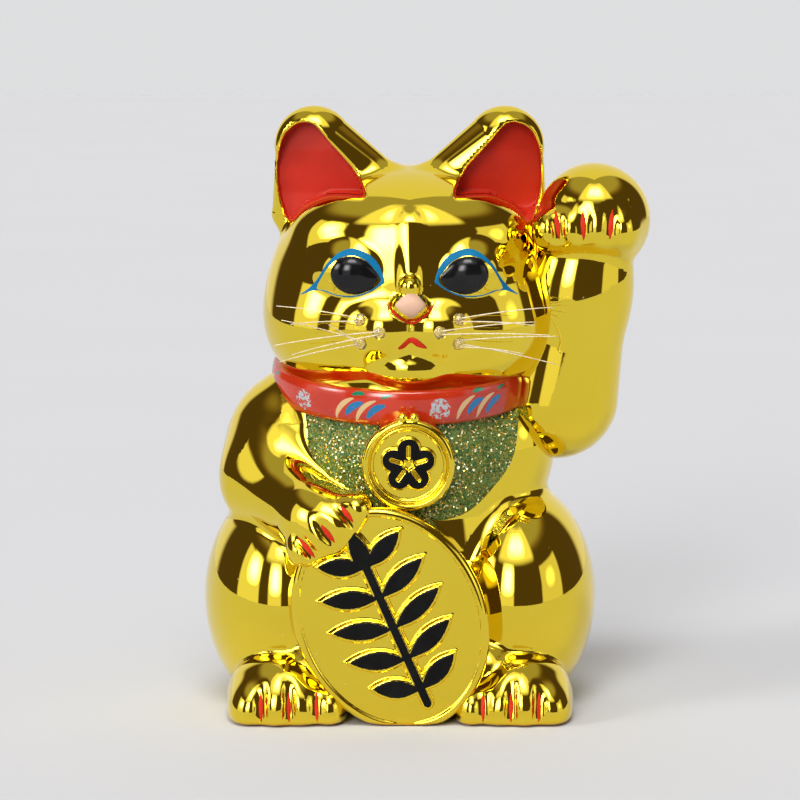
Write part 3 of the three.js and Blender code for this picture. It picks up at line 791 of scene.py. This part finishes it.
# ---------------------------------------------------------------- claws
def claws(name, lines, field, width=0.95, flip=1):
    """A slim painted claw, pointed at both ends, in each groove of a paw."""
    for i, (top, bottom) in enumerate(lines):
        a = np.array([top[0] * flip, top[2]], float)
        b = np.array([bottom[0] * flip, bottom[2]], float)
        along = (b - a) / np.linalg.norm(b - a)
        across, middle, half = np.array([-along[1], along[0]]), (a + b) / 2, np.linalg.norm(b - a) / 2

        def plan(x, z, middle=middle, along=along, across=across, half=half):
            u = (x - middle[0]) * along[0] + (z - middle[1]) * along[1]
            v = (x - middle[0]) * across[0] + (z - middle[1]) * across[1]
            return np.abs(v) - width * np.maximum(1 - (u / half) ** 2, -0.5)

        low, high = np.minimum(a, b) - 1.5, np.maximum(a, b) + 1.5
        piece = coat("%s_%d" % (name, i + 1), plan, low, high, 0.25, field, 0.5, 0.7, sink=-0.05)
        finish_piece(piece, "cat", claw_red)


claws("claw_right_foot", FOOT_CLAWS, body, flip=-1)
claws("claw_left_foot", FOOT_CLAWS, body)
claws("claw_right_paw", LOW_CLAWS, body, 1.15)
claws("claw_left_paw", HIGH_CLAWS, raised_arm_whole, 1.15)


# ---------------------------------------------------------------- koban and medallion
KOBAN_AT = np.float32([-4, -62.5, 44.5])
MEDAL_AT = np.float32([3.5, -58.5, 108.5])


def turned(spin, lean):
    """The turn that brings the cat's frame to a plate spun in its own plane and leant back."""
    a, b = -spin, -lean
    ry = np.array([[math.cos(a), 0, math.sin(a)], [0, 1, 0], [-math.sin(a), 0, math.cos(a)]])
    rx = np.array([[1, 0, 0], [0, math.cos(b), -math.sin(b)], [0, math.sin(b), math.cos(b)]])
    return (rx @ ry).astype(np.float32)


def leaf(x0, z0, x1, z1, width, n=9):
    """A pointed leaf between two points, as a closed line."""
    length = math.hypot(x1 - x0, z1 - z0)
    ax, az = -(z1 - z0) / length * width, (x1 - x0) / length * width
    t = np.linspace(0, 1, n)[:, None]
    p, q = np.array([[x0, z0]]), np.array([[x1, z1]])
    mid = (p + q) / 2
    side = lambda s: (1 - t) ** 2 * p + 2 * t * (1 - t) * (mid + s * np.array([[ax, az]])) + t ** 2 * q
    return np.concatenate([side(1), side(-1)[-2:0:-1]])


SPRIG_STEP = 14      # between the pairs of leaves


def sprig_plan(x, z):
    d = np.hypot(x, z - np.clip(z, -38, 26)) - 2.6
    leaves = [leaf(0, 19, 0, 43, 9.5)]
    for row in range(-2, 3):
        root = row * SPRIG_STEP - 4
        for side in (-1, 1):
            leaves.append(leaf(-side, root, side * (26 - row * row * 1.5), root + 9.5, 9.5))
    for loop in leaves:
        d = np.minimum(d, polygon(x, z, loop))
    return d


def blossom_plan(x, z):
    d = np.full(x.shape, 99.0)
    for i in range(5):
        a = math.pi / 2 + i * 2 * math.pi / 5
        d = smin(d, np.hypot(x - 6.6 * math.cos(a), z - 6.6 * math.sin(a)) - 4.9, 0.4)
        ray = np.array([math.cos(a), math.sin(a)])
        u, v = x * ray[0] + z * ray[1], x * ray[1] - z * ray[0]
        vein = np.hypot(u - np.clip(u, 3.4, 7.4), v) - 0.55
        d = smax(d, -vein, 0.3)
    return smax(d, -(np.hypot(x, z) - 1.7), 0.3)


sprig = Plan(sprig_plan, (-34, -46), (34, 50), 0.3)
blossom = Plan(blossom_plan, (-15, -15), (15, 15), 0.15)
KOBAN_TURN = turned(math.radians(24), 0)
KOBAN_HALF = 4.0
KOBAN_RELIEF = 1.1
MEDAL_TURN = turned(0, math.radians(-1))
MEDAL_RELIEF = 2.3


def slab(flat, depth, low, high, r):
    """A flat outline pushed through from low to high, its edges rounded to radius r."""
    a, b = flat + r, np.abs(depth - (low + high) / 2) - (high - low) / 2 + r
    return np.hypot(np.maximum(a, 0), np.maximum(b, 0)) + np.minimum(np.maximum(a, b), 0) - r


def koban(p):
    q = (p - KOBAN_AT) @ KOBAN_TURN
    u, w, v = q[..., 0], q[..., 1], q[..., 2]
    flat = ellipsoid(np.stack([u, v], -1), (0, 0), (39.6, 48.6))
    d = slab(flat, w, -KOBAN_HALF, 18, 3.2)
    field_inside_rim = ellipsoid(np.stack([u, v], -1), (0, 0), (35.6, 44.6))
    d = smax(d, -slab(field_inside_rim, w, -9, -KOBAN_HALF + 0.7, 0.2), 1.6)
    relief = slab(sprig(u, v), w, -KOBAN_HALF - KOBAN_RELIEF, 0, 0.9)
    d = smin(d, relief, 0.9)
    return smax(d, -p[..., 2], 2)


def medallion(p):
    q = (p - MEDAL_AT) @ MEDAL_TURN
    u, w, v = q[..., 0], q[..., 1], q[..., 2]
    r = np.hypot(u, v)
    d = slab(r - 19.2, w, -2.6, 10, 2.0)
    d = smax(d, -slab(r - 16.6, w, -9, -0.9, 0.3), 0.8)
    ring = np.hypot(r - 15.2, w + 0.9) - 0.75
    d = smin(d, ring, 0.5)
    d = smin(d, slab(blossom(u, v), w, -MEDAL_RELIEF, 2, 0.6), 0.7)
    for x in (-2.4, 2.4):
        d = smin(d, ellipsoid(q, (x, -0.5, 19.6), (2.0, 2.2, 2.2)), 0.8)
    return d


def face_cap(name, plan, low, high, step, at, turn, w, thick):
    """A domed coat of black on a relief's flat top, which is at depth w in the plate's frame."""
    x, z, d, quads = flat_grid(plan, low, high, step)
    edge, sink = 0.5, 0.25
    t = np.clip(-d / edge, 0, 1)
    lift = -sink + (thick + sink) * np.sqrt(t * (2 - t))
    local = np.stack([x, w - lift, z], -1)
    return add_mesh(name, local @ np.asarray(turn, float).T + at, quads)


koban_step = 0.75
koban_piece, _ = solid_piece("koban_gold", koban, (-58, -80, -1), (48, -38, 96), koban_step)
finish_piece(koban_piece, "cat", gold_plain, ["koban_plaque"])
cap = face_cap("koban_sprig_black", lambda x, z: sprig(x, z) + 0.75, (-33, -43), (33, 45), 0.5,
               KOBAN_AT, KOBAN_TURN, -KOBAN_HALF - KOBAN_RELIEF, 0.22)
finish_piece(cap, "cat", black_relief, ["koban_emblem"])

medal_step = 0.45
medal_piece, _ = solid_piece("medallion_gold", medallion, (-18, -66, 87), (26, -46, 133), medal_step)
finish_piece(medal_piece, "cat", gold_plain, ["medallion"])
cap = face_cap("medallion_blossom_black", lambda x, z: blossom(x, z) + 0.3, (-13, -13), (13, 13), 0.25,
               MEDAL_AT, MEDAL_TURN, -MEDAL_RELIEF, 0.2)
finish_piece(cap, "cat", black_relief, ["medallion_emblem"])

# ---------------------------------------------------------------- collar and bib
COLLAR_PROFILE = [(-9, 6.4), (-1.6, 7.5), (-0.5, 7.3), (0.2, 6.4), (0.8, 4.0), (1.0, 0), (0.8, -4.0),
                  (0.2, -6.4), (-0.5, -7.3), (-1.6, -7.5), (-9, -6.4)]


def swept(profile, sides, place):
    """A profile carried round in steps: place(angle, a, b) gives the point for (a, b) at that angle."""
    points, faces = [], []
    for i in range(sides):
        angle = 2 * math.pi * i / sides
        points += [place(angle, a, b) for a, b in profile]
        for j in range(len(profile) - 1):
            here, beyond = i * len(profile) + j, ((i + 1) % sides) * len(profile) + j
            faces.append((here, here + 1, beyond + 1, beyond))
    return np.array(points), faces


def collar_point(angle, out, up):
    c, s = math.cos(COLLAR_TILT), math.sin(COLLAR_TILT)
    x = math.sin(angle) * (COLLAR_R[0] + out)
    y = -math.cos(angle) * (COLLAR_R[1] + out)
    return (COLLAR_AT[0] + x, COLLAR_AT[1] + y * c - up * s, COLLAR_AT[2] + y * s + up * c)


collar = add_mesh("collar_red", *swept(COLLAR_PROFILE, 220, collar_point))
finish_piece(collar, "cat", collar_paint(), ["collar_band"])

BIB = smooth_loop([(-45, 134), (-45.4, 124), (-45, 114), (-40, 101), (-28, 91), (-12, 85), (4, 82.6),
                   (20, 83), (30, 86.5), (38.5, 94), (45.5, 103), (49, 112), (50.2, 124), (51, 134),
                   (4, 126)], 8)
bib_plan = Plan(lambda x, z: polygon(x, z, BIB), (-50, 78), (56, 138), 0.4)
grain = np.random.default_rng(7)
bib = coat("bib_glitter_green", bib_plan, (-47, 80), (53, 137), 0.9, torso, 0.5, 1.2,
           bumps=lambda p: grain.uniform(-0.16, 0.16, len(p)))
finish_piece(bib, "cat", glitter(), ["bib_glitter"])

# ---------------------------------------------------------------- whiskers in their drops of glue
SOCKETS = {"upper": (20.5, 168.5), "middle": (12.5, 163.5), "lower": (20.3, 158.7)}
WHISKERS = {
    "right": [("upper", 55, -54, 174), ("upper", 49, -60, 167), ("middle", 55.5, -62, 158.5),
              ("middle", 48.5, -66, 155), ("lower", 52.5, -68, 169.5), ("lower", 54, -52, 150.5),
              ("lower", 33, -72, 168)],
    "left": [("upper", 59, -54, 173.5), ("upper", 51.5, -60, 166.5), ("middle", 51.5, -65, 168.5),
             ("middle", 57, -70, 163.5), ("lower", 61, -56, 161.5), ("lower", 60.7, -52, 149.5),
             ("lower", 47, -62, 155)],
}
glue, bristle = clear_glue(), nylon()


WHISKER_RADIUS = 0.27
GLUE_RADIUS = 2.7


def tube(name, path, radius, sides=8):
    """A closed tube along a path, thinner towards its far end."""
    path = np.array(path, float)
    tangent = unit(np.gradient(path, axis=0))
    up = unit(np.cross(tangent, (0, 0, 1)))
    over = np.cross(up, tangent)
    points, faces = [], []
    for i, p in enumerate(path):
        r = radius * (1 - 0.35 * (i / (len(path) - 1)) ** 2)
        for k in range(sides):
            a = 2 * math.pi * k / sides
            points.append(p + r * (math.cos(a) * up[i] + math.sin(a) * over[i]))
        if i:
            for k in range(sides):
                a, b = (i - 1) * sides + k, (i - 1) * sides + (k + 1) % sides
                faces.append((a, b, b + sides, a + sides))
    faces.append(tuple(range(sides))[::-1])
    faces.append(tuple(range(len(points) - sides, len(points))))
    return add_mesh(name, np.array(points), faces)


def bead(root, n, phase, rings=12, sides=24):
    """A slightly uneven drop of glue, flattened along n: (points, faces)."""
    sphere = np.array([(math.cos(a) * math.cos(b), math.sin(a) * math.cos(b), math.sin(b))
                       for b in np.linspace(-math.pi / 2, math.pi / 2, rings + 1)
                       for a in np.linspace(0, 2 * math.pi, sides, False)])
    faces = [(r * sides + k, r * sides + (k + 1) % sides,
              (r + 1) * sides + (k + 1) % sides, (r + 1) * sides + k)
             for r in range(rings) for k in range(sides)]
    wave = 1 + 0.07 * np.sin(sphere[:, 0] * 5 + phase) * np.cos(sphere[:, 2] * 4)
    drop = sphere * wave[:, None] * GLUE_RADIUS
    drop -= (drop @ n)[:, None] * n * 0.25
    return drop + root + n * 0.3, faces


for side_name, side in (("right", -1), ("left", 1)):
    for socket, (sx, sz) in SOCKETS.items():
        place = side_name + "_" + socket
        root = onto(body, np.array([HEAD_X + side * sx]), np.array([sz]))[0].astype(float)
        n = unit(gradient(body, root[None]))[0]
        piece = add_mesh("glue_" + place, *bead(root, n, sx))
        finish_piece(piece, "cat", glue, ["whisker_glue_" + place])
        tips = [w[1:] for w in WHISKERS[side_name] if w[0] == socket]
        for i, tip in enumerate(tips):
            spread = i - (len(tips) - 1) / 2
            start = root + np.array([0, -1.4, -1.3 * spread])
            end = np.array([HEAD_X + side * tip[0], tip[1], tip[2]], float)
            middle = (start + end) / 2 + np.array([0, -3, 1.5])
            t = np.linspace(0, 1, 22)[:, None]
            path = (1 - t) ** 2 * start + 2 * t * (1 - t) * middle + t ** 2 * end
            hair = tube("whisker_%s_%d_nylon" % (place, i + 1), path, WHISKER_RADIUS)
            finish_piece(hair, "cat", bristle, ["whisker_%s_%d" % (place, i + 1)])

# ---------------------------------------------------------------- base stopper
STOPPER_PROFILE = [(0, 2.6), (17, 2.6), (18.4, 1.7), (26.2, 1.6), (27, 2.2), (26.6, 4.1), (22.4, 4.2),
                   (21.7, 5.2), (21.9, 6.2), (21.4, 7.0), (21.9, 8.0), (21.4, 9.0), (21.6, 10.0),
                   (20.4, 12.3), (18.2, 12.4), (18.0, 5.8), (0, 5.7)]
AXIS_RADIUS = 0.02   # the profile's ends stop just short of the axis


def stopper_point(angle, radius, z):
    r = max(radius, AXIS_RADIUS)
    return (math.cos(angle) * r, STOPPER_Y + math.sin(angle) * r, z)


def grip_bar(p):
    outline = np.maximum(np.abs(p[..., 0]) - 13, np.abs(p[..., 1] - STOPPER_Y) - 2.4)
    return slab(outline, p[..., 2], 1.0, 3.2, 0.7)


points, faces = swept(STOPPER_PROFILE, 96, stopper_point)
plug = add_mesh("base_stopper_rubber", points, [face[::-1] for face in faces])
rubber_white = rubber()
finish_piece(plug, "stopper", rubber_white, ["base_stopper"])
grip, _ = solid_piece("base_stopper_grip", grip_bar, (-16, 3, 0), (16, 13, 5), 0.5)
finish_piece(grip, "stopper", rubber_white)

# ---------------------------------------------------------------- studio
world = bpy.data.worlds.new("studio")
bpy.context.scene.world = world
world.use_nodes = True
tree = world.node_tree
background = tree.nodes["Background"]


class Sky(Nodes):
    """The same short way to wire the world."""

    def __init__(self):
        self.tree = tree
        self.object = self.new("ShaderNodeTexCoord").outputs["Generated"]


w = Sky()
split = w.new("ShaderNodeSeparateXYZ")
w.link(w.object, split.inputs[0])
dx, dy, dz = split.outputs
azimuth = w.math("MULTIPLY", w.math("ARCTAN2", dx, w.math("MULTIPLY", dy, -1)), 180 / math.pi)
elevation = w.math("MULTIPLY", w.math("ARCSINE", dz), 180 / math.pi)


def panel(az, el, half_az, half_el, soft=2.0):
    """1 inside a softbox seen at that direction, in degrees; azimuth 0 is towards the camera."""
    a = w.spread(w.math("ABSOLUTE", w.math("SUBTRACT", azimuth, az)), half_az + soft, half_az - soft)
    e = w.spread(w.math("ABSOLUTE", w.math("SUBTRACT", elevation, el)), half_el + soft, half_el - soft)
    return w.math("MULTIPLY", a, e)


around = w.math("ABSOLUTE", azimuth)
back = w.spread(around, 127, 139)
high = w.spread(elevation, 42, 62)
light = w.spread(high, 0, 1, 0.085, 0.42)
light = w.math("MAXIMUM", light, w.math("MULTIPLY", back, 0.86))
for box, strength in (
        (panel(-69, 17, 20, 22), 1.0), (panel(-63.5, 25.5, 9, 9, 8), 15.0),       # big box to the left
        (panel(-18, 14, 13, 27), 1.0), (panel(-17.5, 23, 8, 12, 7), 16.0),        # box beside the camera
        (panel(70, 9, 19, 22), 0.85), (panel(70, 17, 9, 8, 8), 2.2),              # dim box to the right
        (panel(0, 60, 44, 20, 5), 1.2), (panel(0, 59, 22, 9, 9), 14.0)):          # box overhead
    light = w.math("MAXIMUM", light, w.math("MULTIPLY", box, strength))
seen = w.new("ShaderNodeLightPath").outputs["Is Camera Ray"]
warm = w.mix(w.spread(light, 0.1, 0.5), rgb(1.0, 0.68, 0.45), rgb(1.0, 0.985, 0.97))
w.link(w.mix(seen, warm, rgb(0.985, 0.99, 1.0)), background.inputs["Color"])
w.link(w.spread(seen, 0, 1, light, 0.74), background.inputs["Strength"])

HALF, NEAR, FAR = 4.0, -1.15, 9.0    # the table's half width, near edge and far edge
FLOOR_Z = -0.0003
floor_mesh = bpy.data.meshes.new("floor")
corners = [(-HALF, NEAR, FLOOR_Z), (HALF, NEAR, FLOOR_Z), (HALF, FAR, FLOOR_Z), (-HALF, FAR, FLOOR_Z)]
floor_mesh.from_pydata(corners, [], [(0, 1, 2, 3)])
floor_mesh.shade_smooth()
floor = bpy.data.objects.new("floor", floor_mesh)
bpy.context.scene.collection.objects.link(floor)
paper = Nodes("floor_paper")
patches = paper.spread(paper.noise(3, 3), 0.3, 0.7)
shade = paper.mix(patches, rgb(0.563, 0.575, 0.602), rgb(0.569, 0.581, 0.608))
paper.set(Base_Color=shade, Roughness=1.0, Specular_IOR_Level=0.0)
floor_mesh.materials.append(paper.material)
bpy.context.scene.view_settings.view_transform = "Standard"
